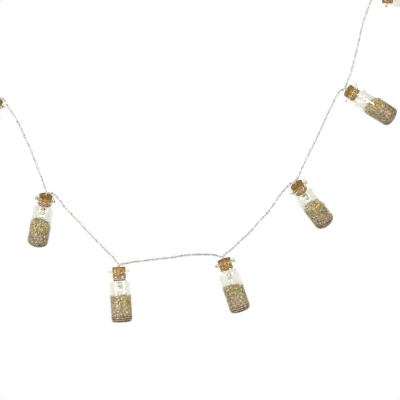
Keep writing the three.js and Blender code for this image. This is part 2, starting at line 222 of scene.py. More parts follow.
def joined(parts):
    """Several (verts, faces, material index) as one list of verts, faces and indices."""
    verts, faces, mats, n = [], [], [], 0
    for v, f, m in parts:
        verts.append(np.asarray(v, float))
        faces += [tuple(i + n for i in g) for g in f]
        mats += [m] * len(f)
        n += len(v)
    return np.concatenate(verts), faces, mats


def tube(line, radius, sides, n=None, b=None, ends=True):
    """A round tube along a line, closed by slightly domed ends. radius is a number or one for each point."""
    line = np.asarray(line, float)
    if n is None:
        _, n, b = frames_along(line)
    r = np.broadcast_to(np.asarray(radius, float), (len(line),))
    a = np.arange(sides) * 2 * math.pi / sides
    ring = np.cos(a)[None, :, None] * n[:, None, :] + np.sin(a)[None, :, None] * b[:, None, :]
    verts = (line[:, None, :] + ring * r[:, None, None]).reshape(-1, 3)
    faces = []
    for i in range(len(line) - 1):
        p, q = i * sides, (i + 1) * sides
        faces += [(p + k, p + (k + 1) % sides, q + (k + 1) % sides, q + k) for k in range(sides)]
    if ends:
        t0 = line[0] - line[1]
        t1 = line[-1] - line[-2]
        tips = np.array([line[0] + t0 / np.linalg.norm(t0) * r[0] * 0.35, line[-1] + t1 / np.linalg.norm(t1) * r[-1] * 0.35])
        c = len(verts)
        verts = np.concatenate([verts, tips])
        last = (len(line) - 1) * sides
        faces += [(c, (k + 1) % sides, k) for k in range(sides)]
        faces += [(c + 1, last + k, last + (k + 1) % sides) for k in range(sides)]
    return verts, faces


def lathe(profile, sides, closed=False, shape=None):
    """A body turned about Z from (radius, depth) points; depth runs down. shape(x, y, z) may move the points."""
    verts, rings = [], []
    a = np.arange(sides) * 2 * math.pi / sides
    n = 0
    for r, s in profile:
        if r < 1e-6:
            rings.append([n])
            verts.append(np.array([[0, 0, -s]]))
            n += 1
        else:
            rings.append(list(range(n, n + sides)))
            verts.append(np.stack([r * np.cos(a), r * np.sin(a), np.full(sides, -s)], 1))
            n += sides
    verts = np.concatenate(verts)
    if shape is not None:
        verts = shape(verts)
    faces = []
    pairs = list(zip(rings, rings[1:]))
    if closed:
        pairs.append((rings[-1], rings[0]))
    for p, q in pairs:
        if len(p) == 1 and len(q) == 1:
            continue
        for k in range(sides):
            j = (k + 1) % sides
            if len(p) == 1:
                faces.append((p[0], q[j], q[k]))
            elif len(q) == 1:
                faces.append((p[k], p[j], q[0]))
            else:
                faces.append((p[k], p[j], q[j], q[k]))
    return verts, faces


def block(x0, x1, y0, y1, z0, z1):
    v = [(x, y, z) for x in (x0, x1) for y in (y0, y1) for z in (z0, z1)]
    f = [(0, 1, 3, 2), (4, 6, 7, 5), (0, 4, 5, 1), (2, 3, 7, 6), (0, 2, 6, 4), (1, 5, 7, 3)]
    return np.array(v, float), f


def bevelled(ob, width, segments=3, angle=30):
    """Rounds the sharp edges of ob's mesh by width millimetres."""
    bm = bmesh.new()
    bm.from_mesh(ob.data)
    bmesh.ops.remove_doubles(bm, verts=bm.verts, dist=2e-6)
    bmesh.ops.dissolve_limit(bm, angle_limit=math.radians(1.0), verts=bm.verts, edges=bm.edges)
    edges = [e for e in bm.edges if len(e.link_faces) == 2 and e.calc_face_angle(0) > math.radians(angle)]
    bmesh.ops.bevel(bm, geom=edges, offset=width * MM, segments=segments, profile=0.6, affect="EDGES", clamp_overlap=True)
    bmesh.ops.recalc_face_normals(bm, faces=bm.faces)
    bm.to_mesh(ob.data)
    bm.free()
    ob.data.polygons.foreach_set("use_smooth", [True] * len(ob.data.polygons))
    ob.data.set_sharp_from_angle(angle=math.radians(40))
    ob.data.update()
    return ob


def copy_of_node(node, name, materials):
    """A new mesh with the shape of a CAD node."""
    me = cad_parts[node].data.copy()
    me.name = name
    me.materials.clear()
    for m in materials:
        me.materials.append(m)
    me.polygons.foreach_set("material_index", [0] * len(me.polygons))
    for layer in list(me.uv_layers):
        me.uv_layers.remove(layer)
    ob = bpy.data.objects.new(name, me)
    scene.collection.objects.link(ob)
    return ob


# ---- material helpers ------------------------------------------------------------------------------------------------------
class Look:
    """A node material under construction."""

    def __init__(self, name):
        self.material = bpy.data.materials.new(name)
        self.material.use_nodes = True
        self.tree = self.material.node_tree
        self.tree.nodes.clear()
        self.out = self.tree.nodes.new("ShaderNodeOutputMaterial")

    def node(self, kind, links=None, **values):
        n = self.tree.nodes.new(kind)
        for key, value in values.items():
            if hasattr(n, key) and key not in n.inputs:
                setattr(n, key, value)
            else:
                n.inputs[key].default_value = value
        for key, source in (links or {}).items():
            self.tree.links.new(source, n.inputs[key])
        return n

    def place(self, scale=(1, 1, 1), offset=(0, 0, 0), turn=(0, 0, 0)):
        """The piece's own coordinates, scaled, moved and turned."""
        c = self.node("ShaderNodeTexCoord")
        m = self.node("ShaderNodeMapping", {"Vector": c.outputs["Object"]})
        m.inputs["Scale"].default_value = scale
        m.inputs["Location"].default_value = offset
        m.inputs["Rotation"].default_value = turn
        return m.outputs["Vector"]

    def noise(self, where, scale, detail=4.0, rough=0.55, distortion=0.0):
        return self.node(
            "ShaderNodeTexNoise", {"Vector": where}, Scale=scale, Detail=detail, Roughness=rough, Distortion=distortion
        ).outputs["Fac"]

    def ramp(self, fac, stops, mode="LINEAR"):
        n = self.node("ShaderNodeValToRGB", {"Fac": fac})
        n.color_ramp.interpolation = mode
        e = n.color_ramp.elements
        while len(e) < len(stops):
            e.new(0.5)
        for one, (at, colour) in zip(e, stops):
            one.position = at
            one.color = (*colour, 1) if len(colour) == 3 else colour
        return n.outputs["Color"]

    def span(self, fac, low, high, from_low=0.0, from_high=1.0):
        n = self.node("ShaderNodeMapRange", {"Value": fac})
        n.inputs["From Min"].default_value, n.inputs["From Max"].default_value = from_low, from_high
        n.inputs["To Min"].default_value, n.inputs["To Max"].default_value = low, high
        return n.outputs["Result"]

    def maths(self, op, a, b=None):
        n = self.node("ShaderNodeMath", operation=op)
        for i, x in enumerate((a, b)):
            if x is None:
                continue
            if isinstance(x, (int, float)):
                n.inputs[i].default_value = x
            else:
                self.tree.links.new(x, n.inputs[i])
        return n.outputs[0]

    def mix(self, fac, a, b, blend="MIX"):
        n = self.node("ShaderNodeMix", data_type="RGBA", blend_type=blend)
        for i, x in ((0, fac), (6, a), (7, b)):
            if isinstance(x, (int, float)):
                n.inputs[i].default_value = x
            elif isinstance(x, tuple):
                n.inputs[i].default_value = (*x, 1)
            else:
                self.tree.links.new(x, n.inputs[i])
        return n.outputs[2]

    def bump(self, height, distance, strength=1.0, normal=None):
        n = self.node("ShaderNodeBump", {"Height": height}, Strength=strength, Distance=distance)
        if normal is not None:
            self.tree.links.new(normal, n.inputs["Normal"])
        return n.outputs["Normal"]

    def attribute(self, name):
        n = self.node("ShaderNodeAttribute")
        n.attribute_name = name
        return n.outputs["Fac"]

    def principled(self, links=None, **values):
        return self.node("ShaderNodeBsdfPrincipled", links, **values)

    def done(self, shader, volume=None):
        self.tree.links.new(shader, self.out.inputs["Surface"])
        if volume is not None:
            self.tree.links.new(volume, self.out.inputs["Volume"])
        return self.material

    def lamps_pass(self, shader, tint):
        """The same shader, through which the light on what is inside passes straight, with a pale tint."""
        path = self.node("ShaderNodeLightPath")
        clear = self.node("ShaderNodeBsdfTransparent")
        clear.inputs["Color"].default_value = (*tint, 1)
        for kind in ("Is Shadow Ray", "Is Diffuse Ray"):
            m = self.node("ShaderNodeMixShader")
            self.tree.links.new(path.outputs[kind], m.inputs["Fac"])
            self.tree.links.new(shader, m.inputs[1])
            self.tree.links.new(clear.outputs[0], m.inputs[2])
            shader = m.outputs[0]
        return shader


def glass_look():
    k = Look("vial_glass")
    where = k.place()
    waves = k.noise(where, 85.0, 2.0, 0.5)
    smear = k.noise(where, 260.0, 5.0, 0.62, 0.6)
    p = k.principled(
        {
            "Roughness": k.span(smear, 0.0, 0.035, 0.45, 0.75),
            "Normal": k.bump(waves, 0.0002, 0.12),
            "Specular Tint": k.ramp(k.attribute("backed"), [(0.0, (1, 1, 1)), (1.0, (0.05, 0.05, 0.05))]),
        },
        IOR=1.5,
    )
    p.inputs["Base Color"].default_value = (0.925, 0.917, 0.885, 1)
    p.inputs["Transmission Weight"].default_value = 1.0
    volume = k.node("ShaderNodeVolumeAbsorption")
    volume.inputs["Color"].default_value = (0.90, 0.88, 0.72, 1)
    volume.inputs["Density"].default_value = 85.0
    return k.done(k.lamps_pass(p.outputs[0], (0.93, 0.93, 0.91)), volume.outputs[0])


def cork_look():
    """Natural cork: granules of slightly different brown, thin dark seams, fine speckle and dark pores, with painted
    shade as a dark ring at both rims and in the chipped notch.
    """
    k = Look("cork")
    where = k.place()
    warp = k.node("ShaderNodeTexNoise", {"Vector": where}, Scale=900.0, Detail=3.0, Roughness=0.5)
    bent = k.node("ShaderNodeVectorMath", {0: where}, operation="MULTIPLY_ADD")
    k.tree.links.new(warp.outputs["Color"], bent.inputs[0])
    bent.inputs[1].default_value = (0.0009, 0.0009, 0.0009)
    k.tree.links.new(where, bent.inputs[2])
    cells = k.node("ShaderNodeTexVoronoi", {"Vector": bent.outputs["Vector"]}, Scale=560.0, Randomness=1.0)
    seams = k.node("ShaderNodeTexVoronoi", {"Vector": bent.outputs["Vector"]}, feature="DISTANCE_TO_EDGE", Scale=560.0, Randomness=1.0)
    split = k.node("ShaderNodeSeparateColor", {"Color": cells.outputs["Color"]})
    broad = k.noise(where, 190.0, 2.0, 0.5, 0.3)
    fine = k.noise(where, 2600.0, 4.0, 0.65)
    streaks = k.noise(k.place((1.0, 1.0, 3.0)), 520.0, 4.0, 0.62, 0.6)
    patch = k.noise(k.place((1.0, 1.0, 1.5), (0.013, 0.0, 0.0)), 420.0, 3.0, 0.6, 0.5)
    tone = k.maths("ADD", k.maths("MULTIPLY", split.outputs[0], 0.50), k.maths("MULTIPLY", k.span(patch, -0.15, 1.15, 0.3, 0.7), 0.42))
    tone = k.maths("ADD", tone, k.span(broad, -0.12, 0.12, 0.3, 0.7))
    colour = k.ramp(
        tone,
        [
            (0.12, (0.212, 0.103, 0.018)), (0.34, (0.365, 0.204, 0.043)), (0.55, (0.458, 0.272, 0.063)),
            (0.80, (0.62, 0.405, 0.125)), (0.97, (0.78, 0.58, 0.25)),
        ],
    )
    colour = k.mix(0.55, colour, k.ramp(seams.outputs["Distance"], [(0.0, (0.42, 0.33, 0.24)), (0.09, (1, 1, 1))]), "MULTIPLY")
    colour = k.mix(0.9, colour, k.ramp(streaks, [(0.38, (0.26, 0.16, 0.09)), (0.46, (1, 1, 1))]), "MULTIPLY")
    colour = k.mix(0.6, colour, k.ramp(fine, [(0.30, (0.60, 0.53, 0.44)), (0.52, (1, 1, 1)), (0.78, (1.2, 1.17, 1.1))]), "MULTIPLY")
    colour = k.mix(k.attribute("top_face"), colour, (0.74, 0.70, 0.60), "MULTIPLY")
    # dark pores in their own colour, and painted shade at both rims and in the notch
    colour = k.mix(k.attribute("pores_and_painted_shade"), colour, (0.075, 0.030, 0.009))
    height = k.mix(0.5, seams.outputs["Distance"], fine)
    p = k.principled(
        {"Base Color": colour, "Roughness": k.span(fine, 0.66, 0.92), "Normal": k.bump(height, 0.00012, 0.5)}
    )
    p.inputs["Specular IOR Level"].default_value = 0.25
    return k.done(p.outputs[0])


def glitter_look(name, metal, cells):
    """Champagne flakes: each is one tone, greener in the upper right of the fill and pinker below and left, with
    painted shade and reflection as dark rings at the heel and a painted highlight on the upward faces.
    """
    k = Look(name)
    where = k.place()
    high = k.attribute("height")
    drift = k.noise(where, 150.0, 2.0, 0.5, 0.4)
    links = {}
    if cells:
        grain = k.node("ShaderNodeTexVoronoi", {"Vector": where}, Scale=1250.0, Randomness=1.0)
        split = k.node("ShaderNodeSeparateColor", {"Color": grain.outputs["Color"]})
        tone = k.maths("ADD", k.maths("MULTIPLY", split.outputs[0], 0.62), k.maths("MULTIPLY", k.attribute("tone"), 0.45))
        face = k.node("ShaderNodeNewGeometry")
        centred = k.node("ShaderNodeVectorMath", {0: grain.outputs["Color"]}, operation="MULTIPLY_ADD")
        centred.inputs[1].default_value = (1.1, 1.1, 1.1)
        centred.inputs[2].default_value = (-0.55, -0.55, -0.55)
        tipped = k.node("ShaderNodeVectorMath", {0: face.outputs["Normal"], 1: centred.outputs["Vector"]}, operation="ADD")
        unit = k.node("ShaderNodeVectorMath", {0: tipped.outputs["Vector"]}, operation="NORMALIZE")
        links["Normal"] = unit.outputs["Vector"]
    else:
        tone = k.attribute("tone")
    green = k.ramp(tone, [(0.0, (0.115, 0.080, 0.018)), (0.22, (0.245, 0.190, 0.052)), (0.50, (0.43, 0.355, 0.125)), (0.80, (0.65, 0.56, 0.26)), (1.0, (0.92, 0.84, 0.58))])
    pink = k.ramp(tone, [(0.0, (0.110, 0.070, 0.038)), (0.22, (0.235, 0.172, 0.100)), (0.50, (0.43, 0.345, 0.215)), (0.80, (0.66, 0.55, 0.385)), (1.0, (0.92, 0.83, 0.68))])
    across = k.node("ShaderNodeSeparateXYZ", {"Vector": where})
    share = k.maths("ADD", k.span(high, -0.55, 0.95), k.span(drift, -0.7, 0.7, 0.3, 0.7))
    share = k.maths("ADD", share, k.span(across.outputs["X"], -0.45, 0.40, -0.009, 0.009))
    clamp = k.node("ShaderNodeClamp", {"Value": share})
    colour = k.mix(clamp.outputs[0], pink, green)
    # painted highlight: the upward faces get less lamp light, so their colour is brightened 1.75 times
    colour = k.mix(k.span(k.attribute("painted_top_light"), 0.0, 0.9), colour, (1.75, 1.75, 1.75), "MULTIPLY")
    # painted shade and reflection at the heel: dark rings with lighter bands between them, near the bottom of the fill
    wavy = k.maths("ADD", high, k.span(k.noise(where, 220.0, 2.0), -0.010, 0.010, 0.3, 0.7))
    rings = k.ramp(
        wavy,
        [
            (0.0, (0.17, 0.13, 0.095)), (0.026, (0.20, 0.155, 0.115)), (0.040, (1.15, 1.12, 1.07)), (0.060, (1.15, 1.12, 1.07)),
            (0.078, (0.22, 0.17, 0.125)), (0.100, (0.24, 0.19, 0.14)), (0.122, (1.18, 1.15, 1.10)), (0.142, (1.15, 1.12, 1.07)),
            (0.162, (0.42, 0.35, 0.28)), (0.180, (0.48, 0.40, 0.33)), (0.206, (1.0, 1.0, 1.0)), (1.0, (1.0, 1.0, 1.0)),
        ],
    )
    colour = k.mix(1.0, colour, rings, "MULTIPLY")
    links.update({"Base Color": colour, "Roughness": k.span(tone, 0.55, 0.38), "Metallic": k.span(tone, metal * 0.6, metal)})
    p = k.principled(links)
    return k.done(p.outputs[0])


def jacket_look():
    """Clear insulation gone slightly milky: part of the light comes back from the plastic itself."""
    k = Look("wire_jacket")
    where = k.place()
    cloud = k.noise(where, 700.0, 3.0)
    p = k.principled(
        {
            "Base Color": k.ramp(cloud, [(0.3, (0.86, 0.86, 0.84)), (0.7, (0.93, 0.93, 0.91))]),
            "Roughness": k.span(k.noise(where, 900.0, 3.0), 0.20, 0.34),
            "Normal": k.bump(k.noise(where, 500.0, 2.0), 0.0001, 0.15),
        },
        IOR=1.33,
    )
    p.inputs["Transmission Weight"].default_value = 0.97
    volume = k.node("ShaderNodeVolumeAbsorption")
    volume.inputs["Color"].default_value = (0.80, 0.80, 0.78, 1)
    volume.inputs["Density"].default_value = 160.0
    return k.done(k.lamps_pass(p.outputs[0], (0.86, 0.86, 0.84)), volume.outputs[0])


def metal_look(name, tone, rough=(0.22, 0.42), scale=900.0, stretch=(1, 1, 1)):
    k = Look(name)
    where = k.place(stretch)
    grain = k.noise(where, scale, 4.0, 0.6)
    broad = k.noise(where, scale * 0.14, 2.0, 0.5)
    low = tuple(c * 0.72 for c in tone)
    colour = k.mix(0.5, k.ramp(broad, [(0.3, low), (0.7, tone)]), k.ramp(grain, [(0.35, low), (0.6, tone)]))
    p = k.principled(
        {"Base Color": colour, "Roughness": k.span(grain, *rough), "Normal": k.bump(grain, 0.00004, 0.4)}
    )
    p.inputs["Metallic"].default_value = 1.0
    return k.done(p.outputs[0])


def plastic_look(name, tone, dark, rough=(0.38, 0.52), texture=2600.0, depth=0.00003, speck=None):
    """Moulded plastic with a fine spark-eroded texture and slight handling marks."""
    k = Look(name)
    where = k.place()
    fine = k.noise(where, texture, 3.0, 0.6)
    broad = k.noise(where, 60.0, 3.0, 0.55, 0.4)
    scuff = k.noise(k.place((1, 1, 0.25)), 420.0, 5.0, 0.7, 1.1)
    colour = k.ramp(broad, [(0.3, dark), (0.72, tone)])
    colour = k.mix(0.35, colour, k.ramp(scuff, [(0.30, dark), (0.46, tone)]), "MULTIPLY" if speck else "MIX")
    p = k.principled(
        {
            "Base Color": colour,
            "Roughness": k.maths("ADD", k.span(fine, rough[0], rough[1]), k.span(scuff, -0.04, 0.06)),
            "Normal": k.bump(fine, depth, 0.5),
        }
    )
    p.inputs["Specular IOR Level"].default_value = 0.45
    return k.done(p.outputs[0])


def epoxy_look():
    k = Look("lamp_epoxy")
    where = k.place()
    p = k.principled(
        {"Roughness": k.span(k.noise(where, 700.0, 2.0), 0.0, 0.05), "Normal": k.bump(k.noise(where, 320.0, 2.0), 0.0001, 0.15)},
        IOR=1.5,
    )
    p.inputs["Base Color"].default_value = (0.975, 0.965, 0.94, 1)
    p.inputs["Transmission Weight"].default_value = 1.0
    volume = k.node("ShaderNodeVolumeAbsorption")
    volume.inputs["Color"].default_value = (0.92, 0.90, 0.84, 1)
    volume.inputs["Density"].default_value = 120.0
    return k.done(k.lamps_pass(p.outputs[0], (0.95, 0.94, 0.92)), volume.outputs[0])


def glue_look():
    k = Look("glue_bead")
    where = k.place()
    cloud = k.noise(where, 900.0, 4.0, 0.6)
    p = k.principled(
        {
            "Base Color": k.ramp(cloud, [(0.3, (0.80, 0.66, 0.50)), (0.65, (0.93, 0.84, 0.72))]),
            "Roughness": k.span(cloud, 0.12, 0.32),
            "Normal": k.bump(k.noise(where, 600.0, 3.0), 0.0002, 0.4),
        },
        IOR=1.47,
    )
    p.inputs["Transmission Weight"].default_value = 0.55
    p.inputs["Subsurface Weight"].default_value = 0.0
    return k.done(p.outputs[0])


def phosphor_look():
    k = Look("lamp_phosphor")
    where = k.place()
    grain = k.noise(where, 5200.0, 3.0, 0.6)
    p = k.principled(
        {
            "Base Color": k.ramp(grain, [(0.3, (0.72, 0.52, 0.08)), (0.7, (0.90, 0.74, 0.20))]),
            "Roughness": k.span(grain, 0.35, 0.6),
        }
    )
    return k.done(p.outputs[0])


def sleeve_look():
    """Plain shrink sleeve of a dry cell: satin grey with a lighter band at one end."""
    k = Look("cell_sleeve")
    where = k.place()
    fine = k.noise(k.place((1, 1, 0.05)), 1800.0, 3.0, 0.6)
    broad = k.noise(where, 90.0, 3.0, 0.5)
    end = k.attribute("band")
    grey = k.ramp(fine, [(0.25, (0.085, 0.092, 0.10)), (0.75, (0.125, 0.133, 0.145))])
    pale = k.ramp(fine, [(0.25, (0.42, 0.43, 0.44)), (0.75, (0.55, 0.56, 0.57))])
    colour = k.mix(end, grey, pale)
    p = k.principled(
        {
            "Base Color": colour,
            "Roughness": k.span(broad, 0.24, 0.42),
            "Metallic": k.span(end, 0.25, 0.75),
            "Normal": k.bump(k.noise(k.place((1, 1, 0.3)), 160.0, 3.0), 0.00015, 0.25),
        }
    )
    p.inputs["Coat Weight"].default_value = 0.3
    return k.done(p.outputs[0])


GLASS = glass_look()
CORK = cork_look()
GLITTER = glitter_look("glitter", 0.15, True)
FLAKE = glitter_look("glitter_flake", 0.45, False)
JACKET = jacket_look()
STRAND = metal_look("tinned_strand", (0.56, 0.555, 0.54), (0.50, 0.68), 1500.0)
LEAD_METAL = metal_look("lead_metal", (0.55, 0.545, 0.53), (0.2, 0.4), 1800.0)
EPOXY = epoxy_look()
GLUE = glue_look()
PHOSPHOR = phosphor_look()
SHELL = plastic_look("battery_shell", (0.80, 0.795, 0.775), (0.72, 0.715, 0.69))
BLACK = plastic_look("switch_plastic", (0.040, 0.041, 0.044), (0.022, 0.022, 0.024), (0.32, 0.5), 3200.0)
NICKEL = metal_look("contact_nickel", (0.74, 0.73, 0.70), (0.12, 0.32), 1400.0, (1, 1, 4))
CELL_END = metal_look("cell_end", (0.70, 0.70, 0.70), (0.2, 0.38), 1100.0)
SLEEVE = sleeve_look()


# ---- the wire: two clear insulated strands, loosely twisted, in ten stretches ------------------------------------------------
STRAND_R, CORE_R = 0.5, 0.32
BEADS = [tuple(np.array(j["at"]) + np.array(jar_down(j)) * j["rise"]) for j in JARS]
ROUTES = [("lead", LEAD_RUN, None, BEADS[0])]
ROUTES += [(f"run_{i + 1}", run, BEADS[i], BEADS[i + 1]) for i, run in enumerate(RUNS)]
ROUTES += [("run_8", OVER_RUN, BEADS[7], BEADS[8]), ("run_9", TAIL_RUN, BEADS[8], BEADS[9])]


def strands(line, s, seed, pitch, into_start, into_end):
    """Centre lines of the two strands round line. into_* are how far they run on into a glue bead."""
    rng = np.random.default_rng(seed)
    t, n, b = frames_along(line)
    length = s[-1]
    slow = sum(
        rng.uniform(0.2, 0.5) * np.sin(2 * math.pi * s / w + rng.uniform(0, 6.28)) for w in (29.0, 47.0, 71.0)
    )
    phase = rng.uniform(0, 6.28) + 2 * math.pi * s / pitch + slow
    loose = sum(np.sin(2 * math.pi * s / w + rng.uniform(0, 6.28)) for w in (13.0, 37.0, 61.0)) / 3
    gap = STRAND_R * (1.04 + 0.55 * np.clip(loose + 0.15, 0, 1) ** 1.3)
    both = []
    for side in (0, math.pi):
        off = gap[:, None] * (np.cos(phase + side)[:, None] * n + np.sin(phase + side)[:, None] * b)
        path = line + off
        head, tail = [], []
        if into_start:
            head = [path[0] - t[0] * into_start - off[0] * 0.35, path[0] - t[0] * into_start * 0.5 - off[0] * 0.15]
        if into_end:
            tail = [path[-1] + t[-1] * into_end * 0.5 - off[-1] * 0.15, path[-1] + t[-1] * into_end - off[-1] * 0.35]
        both.append(np.concatenate([x for x in (np.array(head).reshape(-1, 3), path, np.array(tail).reshape(-1, 3))]))
    return both


for number, (name, points, first, last) in enumerate(ROUTES):
    route = centripetal(meet(points, first, last))
    line, s = resampled(route, 0.8)
    paths = strands(line, s, 40 + number, 16.4, 0.9 if first is not None else 0.0, 0.9)
    jackets, cores = [], []
    for path in paths:
        _, n, b = frames_along(path)
        jackets.append((*tube(path, STRAND_R, 10, n, b), 0))
        cores.append((*tube(path[1:-1], CORE_R, 6, n[1:-1], b[1:-1]), 0))
    v, f, _ = joined(jackets)
    jacket = make(f"wire_{name}_jackets", v, f, [JACKET])
    v, f, _ = joined(cores)
    core = make(f"wire_{name}_cores", v, f, [STRAND])
    for ob in (jacket, core):
        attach(ob, "string")
    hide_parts(f"wire_{name}")


# ---- one jar -------------------------------------------------------------------------------------------------------------------
def jar_matrix(jar):
    up = -Vector(jar_down(jar))
    a = math.radians(jar["lean"])
    side = Vector((math.cos(a), 0, math.sin(a)))
    back = up.cross(side)
    m = Matrix((side, back, up)).transposed().to_4x4()
    m.translation = Vector(jar["at"]) * MM
    return m


R_IN = BODY_R - WALL
FLOOR_R = [0, 2.4, 4.4, 6.0, 7.0, 7.8, 8.4, 8.85, R_IN]
FLOOR_S = [53.7, 53.78, 54.05, 54.5, 54.62, 54.45, 53.95, 53.1, 51.9]
FINE = 96


def vial(name, jar):
    outer = [
        (BORE_R, 6.35), (BORE_R + 0.06, 6.12), (BORE_R + 0.2, 5.97), (BORE_R + 0.45, 5.9), (8.3, 5.88), (9.35, 5.92),
        (9.72, 6.05), (9.93, 6.3), (10.0, 6.62), (10.02, 7.25), (10.0, 7.9), (9.93, 8.22), (9.72, 8.46), (9.35, 8.62),
        (8.6, 8.78), (8.15, 9.0), (7.88, 9.35), (7.74, 9.85), (7.69, 10.6), (7.69, 11.5), (7.72, 12.3), (7.80, 13.1),
        (7.95, 13.7), (8.2, 14.15), (8.65, 14.6), (9.15, 15.1), (9.6, 15.75), (9.88, 16.5), (10.0, 17.4),
    ]
    outer += [(10.0, s) for s in np.linspace(18.4, 51.6, 32)]
    outer += [
        (9.98, 52.5), (9.86, 53.4), (9.58, 54.2), (9.12, 54.9), (8.5, 55.4), (7.75, 55.7), (6.9, 55.8), (6.2, 55.72),
        (5.2, 55.42), (4.0, 55.06), (2.4, 54.78), (0, 54.68),
    ]
    inner = [
        *zip(FLOOR_R[:-1], FLOOR_S[:-1]), (R_IN, FLOOR_S[-1]),
    ]
    inner += [(R_IN, s) for s in np.linspace(49.5, 19.5, 11)]
    inner += [
        (R_IN, 17.7), (9.0, 17.0), (8.7, 16.35), (8.2, 15.8), (7.5, 15.3), (6.98, 14.85), (6.66, 14.35), (BORE_R, 13.8),
        (BORE_R, 11.0), (BORE_R, 8.6),
    ]
    v, f = lathe(outer + inner, FINE, closed=False)
    # the profile's two open ends meet at the bore
    sides = FINE
    first = list(range(sides))
    last = list(range(len(v) - sides, len(v)))
    f += [(last[k], last[(k + 1) % sides], first[(k + 1) % sides], first[k]) for k in range(sides)]
    tilt = math.tan(math.radians(jar["slope"]))
    backed = np.clip((-v[:, 2] - (jar["fill"] + tilt * v[:, 0] - 2.2)) / 1.4, 0, 1) * np.clip((54.6 + v[:, 2]) / 1.2, 0, 1)
    return make(name, v, f, [GLASS], floats={"backed": backed})


NOTCHES = {2: 1.45, 5: 1.75, 8: 2.4}  # corks with a chip out of the top edge, and its bearing


def cork_mesh(name, length, seed, notch=None):
    rng = np.random.default_rng(seed)
    sides = 108
    hole = 1.12
    top, end = CORK_TOP, CORK_TOP + length
    r_at = lambda s: CORK_R_TOP - CORK_TAPER * (s - top)
    prof = [(hole, top + 0.5), (hole + 0.05, top + 0.1), (hole + 0.25, top)]
    prof += [(r, top) for r in np.arange(hole + 0.7, r_at(top) - 0.45, 0.42)]
    prof += [(r_at(top) - 0.26, top + 0.02), (r_at(top) - 0.09, top + 0.1), (r_at(top), top + 0.28)]
    steps = int(length / 0.36)
    prof += [(r_at(s), s) for s in np.linspace(top + 0.6, end - 0.6, steps)]
    prof += [(r_at(end), end - 0.28), (r_at(end) - 0.09, end - 0.1), (r_at(end) - 0.26, end - 0.02)]
    prof += [(r, end) for r in np.arange(r_at(end) - 0.7, hole + 0.3, -0.5)]
    prof += [(hole + 0.1, end), (hole, end - 0.3)]
    prof += [(hole, s) for s in np.linspace(end - 1.4, top + 1.4, 6)]
    v, f = lathe(prof, sides, closed=True)
    # pits: bark pores and torn grains, on the side and the top end
    z = -v[:, 2]
    r = np.hypot(v[:, 0], v[:, 1])
    pores_and_painted_shade = np.zeros(len(v))
    depth = np.zeros(len(v))
    side_face = r > r_at(z) - 0.35
    top_face = z < top + 0.3
    normal = np.zeros_like(v)
    normal[side_face, 0], normal[side_face, 1] = v[side_face, 0] / r[side_face], v[side_face, 1] / r[side_face]
    normal[top_face, 2] += 1
    low = z > end - 0.3
    normal[low, 2] -= 1
    length_n = np.linalg.norm(normal, axis=1)
    normal[length_n > 0] /= length_n[length_n > 0][:, None]
    for _ in range(74):
        a, zz = rng.uniform(0, 2 * math.pi), rng.uniform(top + 0.3, end - 0.3)
        c = np.array([r_at(zz) * math.cos(a), r_at(zz) * math.sin(a), -zz])
        wide, tall = rng.uniform(0.22, 0.75), rng.uniform(0.16, 0.34)
        if rng.uniform() < 0.25:
            wide, tall = tall * 1.2, wide * 1.3
        e = np.array([-math.sin(a), math.cos(a), 0])
        d = v - c
        q = ((d @ e) / wide) ** 2 + (d[:, 2] / tall) ** 2 + (np.linalg.norm(d, axis=1) / 2.0) ** 6
        hit = np.clip(1.35 - q, 0, 1) * side_face
        depth = np.maximum(depth, hit * rng.uniform(0.12, 0.34))
        pores_and_painted_shade = np.maximum(pores_and_painted_shade, np.clip(1.15 - q, 0, 1) * side_face * rng.uniform(0.55, 1.0))
    for _ in range(17):
        a, zz = rng.uniform(0, 2 * math.pi), rng.uniform(top + 0.5, end - 0.4)
        c = np.array([r_at(zz) * math.cos(a), r_at(zz) * math.sin(a), -zz])
        wide, tall = rng.uniform(0.7, 1.9), rng.uniform(0.35, 0.8)
        d = v - c
        q = ((d @ np.array([-math.sin(a), math.cos(a), 0])) / wide) ** 2 + (d[:, 2] / tall) ** 2 + (np.linalg.norm(d, axis=1) / 3.0) ** 6
        depth = np.maximum(depth, np.clip(1.2 - q, 0, 1) * side_face * 0.16)
        pores_and_painted_shade = np.maximum(pores_and_painted_shade, np.clip(1.2 - q, 0, 1) * side_face * rng.uniform(0.30, 0.75))
    for _ in range(7):
        a, rr = rng.uniform(0, 2 * math.pi), (CORK_R_TOP - 0.6) * math.sqrt(rng.uniform(0.1, 1))
        d = v - np.array([rr * math.cos(a), rr * math.sin(a), -top])
        turn, w, h = rng.uniform(0, 3.14), rng.uniform(0.8, 1.7), rng.uniform(0.35, 0.7)
        q = ((d[:, 0] * math.cos(turn) + d[:, 1] * math.sin(turn)) / w) ** 2 + ((-d[:, 0] * math.sin(turn) + d[:, 1] * math.cos(turn)) / h) ** 2
        depth = np.maximum(depth, np.clip(1.2 - q, 0, 1) * top_face * 0.14)
        pores_and_painted_shade = np.maximum(pores_and_painted_shade, np.clip(1.2 - q, 0, 1) * top_face * rng.uniform(0.30, 0.70))
    for _ in range(26):
        a, rr = rng.uniform(0, 2 * math.pi), (CORK_R_TOP - 0.3) * math.sqrt(rng.uniform(0.06, 1))
        c = np.array([rr * math.cos(a), rr * math.sin(a), -top])
        w, h, turn = rng.uniform(0.2, 0.62), rng.uniform(0.14, 0.3), rng.uniform(0, 3.14)
        d = v - c
        x = d[:, 0] * math.cos(turn) + d[:, 1] * math.sin(turn)
        y = -d[:, 0] * math.sin(turn) + d[:, 1] * math.cos(turn)
        q = (x / w) ** 2 + (y / h) ** 2
        hit = np.clip(1.35 - q, 0, 1) * top_face
        depth = np.maximum(depth, hit * rng.uniform(0.1, 0.26))
        pores_and_painted_shade = np.maximum(pores_and_painted_shade, np.clip(1.15 - q, 0, 1) * top_face * rng.uniform(0.5, 0.95))
    if notch is not None:
